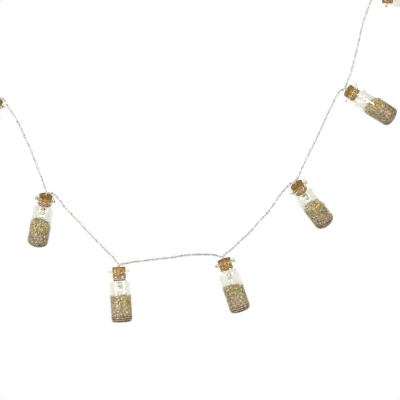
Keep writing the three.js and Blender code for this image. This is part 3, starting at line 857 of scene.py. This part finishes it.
        # a chip broken out of the top edge, its hollow painted near-black as shade
        c = np.array([(CORK_R_TOP - 0.15) * math.cos(notch), (CORK_R_TOP - 0.15) * math.sin(notch), -top])
        d = v - c
        along = d[:, 0] * -math.sin(notch) + d[:, 1] * math.cos(notch)
        inward = d[:, 0] * math.cos(notch) + d[:, 1] * math.sin(notch)
        q = (along / 1.05) ** 2 + (inward / 0.75) ** 2 + (d[:, 2] / 0.9) ** 2
        depth = np.maximum(depth, np.clip(1.3 - q, 0, 1) * 0.5)
        pores_and_painted_shade = np.maximum(pores_and_painted_shade, np.clip(1.25 - q, 0, 1))
    # painted shade: a dark ring round the top rim and round the lower end of the cork
    rim = np.clip(1 - np.hypot((r - r_at(z)) / 0.75, (z - top) / 0.75), 0, 1) + np.clip(1 - np.hypot((r - r_at(z)) / 0.9, (z - end) / 0.9), 0, 1)
    pores_and_painted_shade = np.maximum(pores_and_painted_shade, 0.72 * np.clip(rim, 0, 1) ** 0.6 * (r > r_at(z) - 1.2))
    rough = np.array([noise.fractal(Vector(p) * 0.75 + Vector((seed * 7.3, 0, 0)), 1.0, 2.0, 4) for p in v])
    skin = (r > hole + 0.2) | (z < top + 0.05)
    move = (-depth + 0.075 * rough - 0.03) * skin
    v = v + normal * move[:, None]
    return make(name, v, f, [CORK], floats={"pores_and_painted_shade": np.clip(pores_and_painted_shade, 0, 1), "top_face": top_face.astype(float)})


def glitter_top(jar, seed):
    """Height of the fill's top below the bead, at local x and y."""
    tilt = math.tan(math.radians(jar["slope"]))

    def at(x, y):
        p = Vector((x * 0.17 + seed * 3.1, y * 0.17, 0.5))
        q = Vector((x * 0.5 + seed * 1.7, y * 0.5, 2.5))
        return jar["fill"] + tilt * x + 0.55 * noise.noise(p) + 0.25 * noise.noise(q)

    return at


BOTTOM = 54.6  # depth from which the fill's height is counted


def glitter_fill(name, jar, seed):
    """The fill's body. It wets the glass, so it reaches a hair into the wall and the floor."""
    rim = R_IN + 0.05
    at = glitter_top(jar, seed)
    sides = 96
    low = [(r + (0.05 if r > 0 else 0), s + 0.05) for r, s in zip(FLOOR_R[:-1], FLOOR_S[:-1])]
    low += [(rim, s) for s in np.arange(FLOOR_S[-1], jar["fill"] + 0.6, -0.75)]
    rings = len(low)
    prof = low + [(r, jar["fill"]) for r in (rim - 0.1, 8.2, 7.4, 6.5, 5.6, 4.7, 3.8, 2.9, 2.0, 1.0)] + [(0, jar["fill"])]
    v, f = lathe(prof, sides)
    top_start = 1 + (rings - 1) * sides
    fill = jar["fill"]
    bottom = FLOOR_S[-1]
    for i in range(len(v)):
        x, y, z = v[i]
        r = math.hypot(x, y)
        h = at(x, y)
        if i >= top_start:
            v[i, 2] = -h
        elif r > rim - 0.01:
            k = (bottom + z) / (bottom - fill)
            v[i, 2] = -(bottom - k * (bottom - h))
            out = 0.05 * abs(noise.noise(Vector((x, y, v[i, 2])) * 1.3))
            v[i, 0] *= (r + out) / r
            v[i, 1] *= (r + out) / r
    tone = np.array([0.42 + 0.8 * (noise.noise(Vector(p) * 1.5 + Vector((seed, 0, 0)))) for p in v])
    high = np.clip((BOTTOM + v[:, 2]) / (BOTTOM - fill), 0, 1)
    face_up = (np.arange(len(v)) >= top_start).astype(float)
    return make(name, v, f, [GLITTER], floats={"tone": np.clip(tone - 0.1, 0, 1), "height": high, "painted_top_light": face_up})


def flakes(name, jar, seed):
    """Thin six-sided flakes over the whole surface of the fill, the outermost set in the glue on the glass."""
    rng = np.random.default_rng(900 + seed)
    at = glitter_top(jar, seed)
    fill = jar["fill"]
    count_side, count_top, count_low = ((3000, 680, 460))
    centres, normals = [], []
    size = []
    for i in range(count_side):
        a = rng.uniform(0, 2 * math.pi)
        u = np.array([math.cos(a), math.sin(a), 0])
        q = rng.uniform(0.26, 0.56) * (1.3 if rng.uniform() < 0.12 else 1)
        h = at(R_IN * u[0], R_IN * u[1])
        s = rng.uniform(h + 0.05, 52.6)
        if i % 17 == 0:
            s = h - rng.exponential(0.7)
            q *= 0.75
        tilt = abs(rng.normal(0, 0.34))
        r = R_IN + 0.20 + rng.uniform(-0.07, 0.12)
        centres.append(u * r + np.array([0, 0, -s]))
        spin = rng.uniform(0, 2 * math.pi)
        e = np.array([-u[1], u[0], 0]) * math.cos(spin) + np.array([0, 0, 1]) * math.sin(spin)
        normals.append(u * math.cos(tilt) + e * math.sin(tilt))
        size.append(q)
    for _ in range(count_top):
        a, r = rng.uniform(0, 2 * math.pi), (R_IN - 0.5) * math.sqrt(rng.uniform(0, 1))
        x, y = r * math.cos(a), r * math.sin(a)
        tilt, spin = abs(rng.normal(0, 0.5)), rng.uniform(0, 2 * math.pi)
        centres.append(np.array([x, y, -at(x, y) + rng.uniform(-0.05, 0.3)]))
        normals.append(np.array([math.sin(tilt) * math.cos(spin), math.sin(tilt) * math.sin(spin), math.cos(tilt)]))
        size.append(rng.uniform(0.28, 0.56))
    for _ in range(count_low):
        a, r = rng.uniform(0, 2 * math.pi), 8.9 * math.sqrt(rng.uniform(0, 1))
        drop = np.interp(r, FLOOR_R, FLOOR_S) + 0.1
        tilt, spin = abs(rng.normal(0, 0.12)), rng.uniform(0, 2 * math.pi)
        slant = np.interp(r, [0, 6.0, 7.0, 7.8, 8.4, 8.9], [0, 0.0, 0.15, 0.55, 0.9, 1.2])
        u = np.array([math.cos(a), math.sin(a), 0])
        n = u * math.sin(slant) - np.array([0, 0, 1]) * math.cos(slant)
        e = np.array([-u[1], u[0], 0])
        centres.append(u * r + np.array([0, 0, -drop]))
        normals.append(n * math.cos(tilt) + e * math.sin(tilt))
        size.append(rng.uniform(0.28, 0.54))
    c, n, q = np.array(centres), np.array(normals), np.array(size)
    m = len(c)
    ref = np.where(np.abs(n[:, 2:3]) < 0.9, np.array([[0, 0, 1.0]]), np.array([[1.0, 0, 0]]))
    e1 = np.cross(n, ref)
    e1 /= np.linalg.norm(e1, axis=1)[:, None]
    e2 = np.cross(n, e1)
    turn = rng.uniform(0, 2 * math.pi, m)
    a = turn[:, None] + np.arange(6)[None, :] * math.pi / 3
    long = rng.uniform(0.85, 1.2, m)
    rimp = c[:, None, :] + q[:, None, None] * (np.cos(a)[..., None] * e1[:, None, :] * long[:, None, None] + np.sin(a)[..., None] * e2[:, None, :])
    thick = 0.045
    verts = np.concatenate([rimp, (c + n * thick)[:, None, :], (c - n * thick)[:, None, :]], 1).reshape(-1, 3)
    faces = []
    for k in range(6):
        j = (k + 1) % 6
        faces.append(np.stack([np.arange(m) * 8 + k, np.arange(m) * 8 + j, np.arange(m) * 8 + 6], 1))
        faces.append(np.stack([np.arange(m) * 8 + j, np.arange(m) * 8 + k, np.arange(m) * 8 + 7], 1))
    faces = np.concatenate(faces)
    # nothing reaches the outside of the glass
    r = np.hypot(verts[:, 0], verts[:, 1])
    limit = np.interp(-verts[:, 2], [51.4, 52.5, 53.4, 54.2, 54.9, 55.2], [9.62, 9.6, 9.45, 9.1, 8.5, 7.9])
    over = r > limit
    verts[over, 0] *= limit[over] / r[over]
    verts[over, 1] *= limit[over] / r[over]
    verts[:, 2] = np.maximum(verts[:, 2], -55.1)
    tone = np.clip(rng.beta(1.7, 2.0, m), 0, 1)
    bright = rng.uniform(0, 1, m) < 0.12
    tone[bright] = rng.uniform(0.85, 1.0, bright.sum())
    darker = rng.uniform(0, 1, m) < 0.20
    tone[darker] = rng.uniform(0.0, 0.15, darker.sum())
    high = np.clip((BOTTOM + verts[:, 2]) / (BOTTOM - fill), 0, 1)
    face_up = np.zeros(m)
    face_up[count_side : count_side + count_top] = 1
    floats = {"tone": np.repeat(tone, 8), "height": high, "painted_top_light": np.repeat(face_up, 8)}
    return make(name, verts, faces, [FLAKE], smooth=False, floats=floats, outward=False)


def lamp_dome(name):
    prof = [(0, 17.75), (1.2, 17.7), (2.2, 17.62), (2.62, 17.66), (2.78, 17.8), (2.82, 18.0), (2.78, 18.2), (2.66, 18.4), (2.55, 18.65), (2.5, 19.0)]
    prof += [(2.5, s) for s in (20.0, 21.4, 22.8, 23.9)]
    prof += [(2.5 * math.cos(t), 23.95 + 2.45 * math.sin(t)) for t in np.linspace(0.12, math.pi / 2 - 0.12, 9)] + [(0, LAMP_TIP)]
    v, f = lathe(prof, 64)
    return make(name, v, f, [EPOXY], sharp=60)


def lamp_inside(name):
    """Lead frame in the lamp: the cup on its post, the second post, the phosphor drop in the cup, the bond wire."""
    def post(x0, x1, s0, s1, t=0.22):
        return (*block(x0, x1, -t, t, -s1, -s0), 0)

    parts = [post(-1.2, -0.75, 17.9, 21.9), post(-1.2, -0.15, 21.5, 22.3), post(0.75, 1.2, 17.9, 22.3), post(0.4, 1.2, 22.1, 22.9)]
    cup, g = lathe([(0, 22.4), (0.42, 22.4), (0.8, 23.1), (0.9, 23.1), (0.9, 22.95), (0.58, 22.05), (0, 22.05)], 24)
    cup[:, 0] -= 0.25
    drop, h = lathe([(0, 22.42), (0.40, 22.42), (0.68, 22.95), (0.52, 23.15), (0.3, 23.25), (0, 23.28)], 24)
    drop[:, 0] -= 0.25
    bond = [(-0.2, 0, -23.15), (0.0, 0, -23.6), (0.4, 0, -23.55), (0.8, 0, -22.9)]
    line = centripetal(bond, 6)
    bv, bf = tube(line, 0.035, 5)
    v, f, m = joined([*parts, (cup, g, 0), (drop, h, 1), (bv, bf, 0)])
    return make(name, v, f, [LEAD_METAL, PHOSPHOR], sharp=30, face_mats=m)


def lamp_pair(name, seed, rise):
    """The lamp's own thin twisted pair through the cork, opening to its two bare legs."""
    rng = np.random.default_rng(300 + seed)
    s = np.linspace(0.3 + rise, 18.1, 80)
    spread = np.interp(s, [0, 13.6, 16.0, 18.1], [0.46, 0.46, 1.02, 1.08])
    start = rng.uniform(0, 6.28)
    turns = np.interp(s, [0, 13.6, 15.8, 18.1], [start, math.pi * round((start + 11.5) / math.pi), math.pi * round((start + 11.5) / math.pi), math.pi * round((start + 11.5) / math.pi)])
    parts = []
    for side in (0, math.pi):
        path = np.stack([spread * np.cos(turns + side), spread * np.sin(turns + side), -s], 1)
        jacket = path[s < 15.2]
        bare = path[s > 13.5]
        parts.append((*tube(jacket, 0.43, 10), 0))
        parts.append((*tube(bare, 0.21, 8), 1))
        parts.append((*tube(jacket[:-1], 0.2, 6), 1))
    v, f, m = joined(parts)
    return make(name, v, f, [JACKET, LEAD_METAL], face_mats=m)


def bead(name, seed, stretch, rise):
    """The drop of clear glue over the splice, drawn out along the wires that run into it."""
    rng = np.random.default_rng(500 + seed)
    bm = bmesh.new()
    bmesh.ops.create_icosphere(bm, subdivisions=4, radius=1.0)
    pts = np.array([v.co for v in bm.verts])
    faces = [tuple(v.index for v in f.verts) for f in bm.faces]
    bm.free()
    out = []
    for p in pts:
        k = 1.22 + 0.10 * noise.noise(Vector(p) * 1.3 + Vector((seed * 2.7, 0, 0)))
        for d in stretch:
            c = max(float(p @ d), 0.0)
            k += 1.0 * c**12
        c = max(float(-p[2]), 0.0)
        k += 2.5 * c**14
        out.append(p * k)
    return make(name, np.array(out) - np.array([0, 0, rise]), faces, [GLUE])


ends_at = {}
for name, points, first, last in ROUTES:
    run = meet(points, first, last)
    if first is not None:
        ends_at.setdefault(tuple(first), []).append(run[0] - np.array(first))
    ends_at.setdefault(tuple(last), []).append(run[-1] - np.array(last))

for i, jar in enumerate(JARS):
    n = f"{i + 1:02d}"
    place = jar_matrix(jar)
    turn = np.array(place.to_3x3())
    pieces = {}
    pieces["jar"] = [
        (vial(f"glass_vial_{n}", jar), "vial_glass", f"vial_{n}"),
        (glitter_fill(f"glitter_fill_{n}", jar, i + 1), "glitter", f"glitter_{n}"),
        (flakes(f"glitter_flakes_{n}", jar, i + 1), "glitter", None),
    ]
    stretch = [(d / np.linalg.norm(d)) @ turn for d in ends_at[BEADS[i]]]
    pieces["hanger"] = [
        (cork_mesh(f"cork_stopper_{n}", jar["cork"], i + 1, NOTCHES.get(i + 1)), "cork", f"cork_{n}"),
        (lamp_dome(f"lamp_dome_{n}"), "lamp", f"lamp_{n}"),
        (lamp_inside(f"lamp_frame_{n}"), "contact_metal", None),
        (lamp_pair(f"lamp_wires_{n}", i + 1, jar["rise"]), "wire", None),
        (bead(f"lamp_bead_{n}", i + 1, stretch, jar["rise"]), "lamp", None),
    ]
    for body, made in pieces.items():
        for ob, slot, node in made:
            ob.matrix_world = place
            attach(ob, f"{body}_{n}")
            if node:
                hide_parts(node)


# ---- battery box: its shell, cover and switch with rounded edges, wound springs and two cells --------------------------------------
BOX_AT = np.array([0, BACK, -242.0])
CELL_X, CELL_Y, CELL_R, CELL_L, NUB_R, NUB_H = 7.45, 0.75, 7.1, 48.8, 2.75, 1.2

case = bevelled(copy_of_node("battery_case", "battery_case_shell", [SHELL]), 0.35)
cover = bevelled(copy_of_node("battery_cover", "battery_cover_lid", [SHELL]), 0.22)
body = bevelled(copy_of_node("switch_body", "switch_housing", [BLACK]), 0.25)
slider = bevelled(copy_of_node("switch_slider", "switch_knob", [BLACK]), 0.12)
for ob, node, rides, slot in (
    (case, "battery_case", "string", "battery_shell"),
    (cover, "battery_cover", "battery_cover", "battery_shell"),
    (body, "switch_body", "string", "switch_plastic"),
    (slider, "switch_slider", "switch_slider", "switch_plastic"),
):
    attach(ob, rides)
    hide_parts(node)


def dry_cell(name, node, x, top, up):
    """A dry cell: sleeve rolled over both ends, steel end caps, the raised contact at one end."""
    z = lambda d: top - d if up else top - NUB_H - CELL_L + d
    prof = [(0, 0), (NUB_R - 0.35, 0), (NUB_R, 0.3), (NUB_R, NUB_H), (NUB_R + 0.35, NUB_H + 0.1), (4.9, NUB_H + 0.12)]
    cap_top = len(prof)
    prof += [(5.0, NUB_H - 0.12), (6.6, NUB_H), (CELL_R - 0.12, NUB_H + 0.16), (CELL_R, NUB_H + 0.5)]
    prof += [(CELL_R, NUB_H + s) for s in (9.5, 9.9, 20, 30, 40)]
    total = NUB_H + CELL_L
    prof += [(CELL_R, total - 0.5), (CELL_R - 0.12, total - 0.14), (6.5, total), (5.6, total), (5.5, total - 0.18)]
    cap_low = len(prof)
    prof += [(5.3, total - 0.2), (2.0, total - 0.05), (0, total - 0.05)]
    sides = 64
    v, f = lathe(prof, sides)
    depth = -v[:, 2].copy()
    v[:, 2] = np.array([z(d) for d in depth])
    v[:, 0] += x
    v[:, 1] += CELL_Y
    mats = []
    for g in f:
        d = np.mean([depth[i] for i in g])
        r = np.mean([math.hypot(v[i, 0] - x, v[i, 1] - CELL_Y) for i in g])
        mats.append(1 if r < 5.0 or (d > total - 0.4 and r < 5.55) else 0)
    band = (depth < NUB_H + 9.7).astype(float)
    ob = make(name, v + BOX_AT, f, [SLEEVE, CELL_END], sharp=35, face_mats=mats, floats={"band": band})
    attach(ob, "string")
    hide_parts(node)


dry_cell("dry_cell_left", "battery_cell_left", -CELL_X, -15.1, True)
dry_cell("dry_cell_right", "battery_cell_right", CELL_X, -18.9, False)


def coil(x, z0, z1, r0, r1, turns, wire=0.42):
    a = np.linspace(0, 2 * math.pi * turns, int(turns * 26))
    share = a / a[-1]
    flat = np.clip(share * 1.15 - 0.06, 0, 1)
    r = r0 + (r1 - r0) * share
    line = np.stack([x + r * np.cos(a), CELL_Y + r * np.sin(a), z0 + (z1 - z0) * flat], 1)
    return tube(line, wire / 2, 8)


def contact(name, node, plates, coils):
    parts = []
    for x0, x1, z0, z1 in plates:
        parts.append((*block(x0, x1, CELL_Y - 4.6, CELL_Y + 4.6, z0, z1), 0))
    for c in coils:
        parts.append((*coil(*c), 0))
    v, f, m = joined(parts)
    ob = make(name, v + BOX_AT, f, [NICKEL], sharp=30)
    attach(ob, "string")
    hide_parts(node)
    return ob


contact("contact_plate_plus", "contact_plus", [(-CELL_X - 4.8, -CELL_X + 4.8, -14.8, -14.3)], [])
contact("contact_coil_minus", "contact_minus_spring", [(CELL_X - 4.8, CELL_X + 4.8, -14.8, -14.3)], [(CELL_X, -14.95, -18.5, 4.0, 2.7, 4.2)])
contact(
    "contact_coil_bridge", "contact_bridge_spring", [(-CELL_X - 4.8, CELL_X + 4.8, -69.7, -69.2)],
    [(-CELL_X, -69.05, -65.5, 4.0, 2.7, 4.2)],
)


# ---- studio: pale floor well below, bright surroundings, soft lights in front and behind -------------------------------------------------
def floor_look():
    k = Look("floor")
    where = k.place()
    shade = k.noise(where, 3.0, 4.0, 0.5)
    tone = k.ramp(shade, [(0.3, (0.80, 0.80, 0.795)), (0.7, (0.84, 0.84, 0.835))])
    p = k.principled({"Base Color": tone, "Roughness": k.span(k.noise(where, 240.0, 3.0), 0.55, 0.7)})
    e = k.node("ShaderNodeEmission", Strength=1.0)
    e.inputs["Color"].default_value = (1, 1, 1, 1)
    far = k.node("ShaderNodeVectorMath", {0: where}, operation="LENGTH")
    edge = k.span(far.outputs["Value"], 0.0, 1.0, 0.55, 1.25)
    m = k.node("ShaderNodeMixShader", {"Fac": edge, 1: p.outputs[0], 2: e.outputs[0]})
    return k.done(m.outputs[0])


v, f = lathe([(0, 0.0)] + [(r, 0.0) for r in (200, 500, 800, 1100, 1300)] + [(1300, 6.0), (0, 6.0)], 96)
floor = make("floor", v, f, [floor_look()], smooth=False)
floor.location = (0.247, 0.0, -0.62)

world = bpy.data.worlds.new("world")
scene.world = world
world.use_nodes = True
t = world.node_tree
t.nodes.clear()


def w_node(kind, links=None, **values):
    n = t.nodes.new(kind)
    for key, value in values.items():
        if hasattr(n, key) and key not in n.inputs:
            setattr(n, key, value)
        else:
            n.inputs[key].default_value = value
    for key, source in (links or {}).items():
        t.links.new(source, n.inputs[key])
    return n


def w_ramp(fac, low, high, stops):
    span = w_node("ShaderNodeMapRange", {"Value": fac})
    span.inputs["From Min"].default_value, span.inputs["From Max"].default_value = low, high
    n = w_node("ShaderNodeValToRGB", {"Fac": span.outputs["Result"]})
    n.color_ramp.interpolation = "EASE"
    e = n.color_ramp.elements
    while len(e) < len(stops):
        e.new(0.5)
    for one, (at, value) in zip(e, stops):
        one.position = at
        one.color = (value, value, value, 1)
    return n.outputs["Color"]


# a white sheet stands behind the string; in front it is dimmer above and below than level with the string
coord = w_node("ShaderNodeTexCoord")
split = w_node("ShaderNodeSeparateXYZ", {0: coord.outputs["Generated"]})
front = w_ramp(split.outputs["Z"], -1, 1, [(0.0, 0.32), (0.30, 0.33), (0.46, 0.46), (0.56, 0.46), (0.75, 0.36), (1.0, 0.36)])
behind = w_ramp(split.outputs["Y"], -1, 1, [(0.0, 0.0), (0.30, 0.0), (0.52, 1.0), (1.0, 1.0)])
level = w_ramp(split.outputs["Z"], -1, 1, [(0.0, 0.30), (0.12, 0.38), (0.30, 1.0), (0.70, 1.0), (0.88, 0.38), (1.0, 0.30)])
sheet = w_node("ShaderNodeMix", data_type="RGBA", blend_type="MIX")
sheet.inputs[0].default_value = 1.0
sheet.blend_type = "MULTIPLY"
sheet.inputs[6].default_value = (1, 1, 1, 1)
t.links.new(level, sheet.inputs[7])
both = w_node("ShaderNodeMix", data_type="RGBA", blend_type="MIX")
t.links.new(behind, both.inputs[0])
t.links.new(front, both.inputs[6])
t.links.new(sheet.outputs[2], both.inputs[7])
lit = w_node("ShaderNodeBackground", {"Color": both.outputs[2]})
bright = w_ramp(split.outputs["Z"], -1, 1, [(0.0, 0.36), (0.28, 0.42), (0.44, 1.0), (0.58, 1.0), (0.77, 0.42), (1.0, 0.36)])
around = w_node("ShaderNodeMix", data_type="RGBA", blend_type="MIX")
t.links.new(behind, around.inputs[0])
t.links.new(bright, around.inputs[6])
t.links.new(sheet.outputs[2], around.inputs[7])
through = w_node("ShaderNodeBackground", {"Color": around.outputs[2]})
seen = w_node("ShaderNodeBackground")
seen.inputs["Color"].default_value = (1, 1, 1, 1)
path = w_node("ShaderNodeLightPath")
clear_path = w_node("ShaderNodeMixShader", {"Fac": path.outputs["Is Transmission Ray"], 1: lit.outputs[0], 2: through.outputs[0]})
mixed = w_node("ShaderNodeMixShader", {"Fac": path.outputs["Is Camera Ray"], 1: clear_path.outputs[0], 2: seen.outputs[0]})
w_node("ShaderNodeOutputWorld", {"Surface": mixed.outputs[0]})


def soft_light(name, bearing, away, height, wide, tall, watts, aim=(0.247, 0.0, -0.2)):
    data = bpy.data.lights.new(name, "AREA")
    data.shape, data.size, data.size_y, data.energy = "RECTANGLE", wide, tall, watts
    ob = bpy.data.objects.new(name, data)
    scene.collection.objects.link(ob)
    a = math.radians(bearing)
    ob.location = (aim[0] + away * math.sin(a), aim[1] - away * math.cos(a), aim[2] + height)
    way = Vector(aim) - ob.location
    ob.rotation_euler = way.to_track_quat("-Z", "Y").to_euler()
    ob.visible_camera = False
    return ob


soft_light("light_left", -50, 1.25, -0.12, 0.26, 0.60, 6.5)
soft_light("fill_left", -28, 1.5, 0.75, 1.1, 0.7, 8.4)
soft_light("fill_right", 34, 1.5, 0.70, 1.1, 0.7, 9.4)
soft_light("light_right", 46, 1.25, 0.0, 0.24, 0.24, 2.6)
soft_light("back_left", -152, 1.7, 0.8, 1.2, 0.8, 6.5)
soft_light("back_right", 152, 1.7, 0.8, 1.2, 0.8, 6.5)

# ---- the end ----------------------------------------------------------------------------------------------------------------------------
bpy.context.view_layer.update()
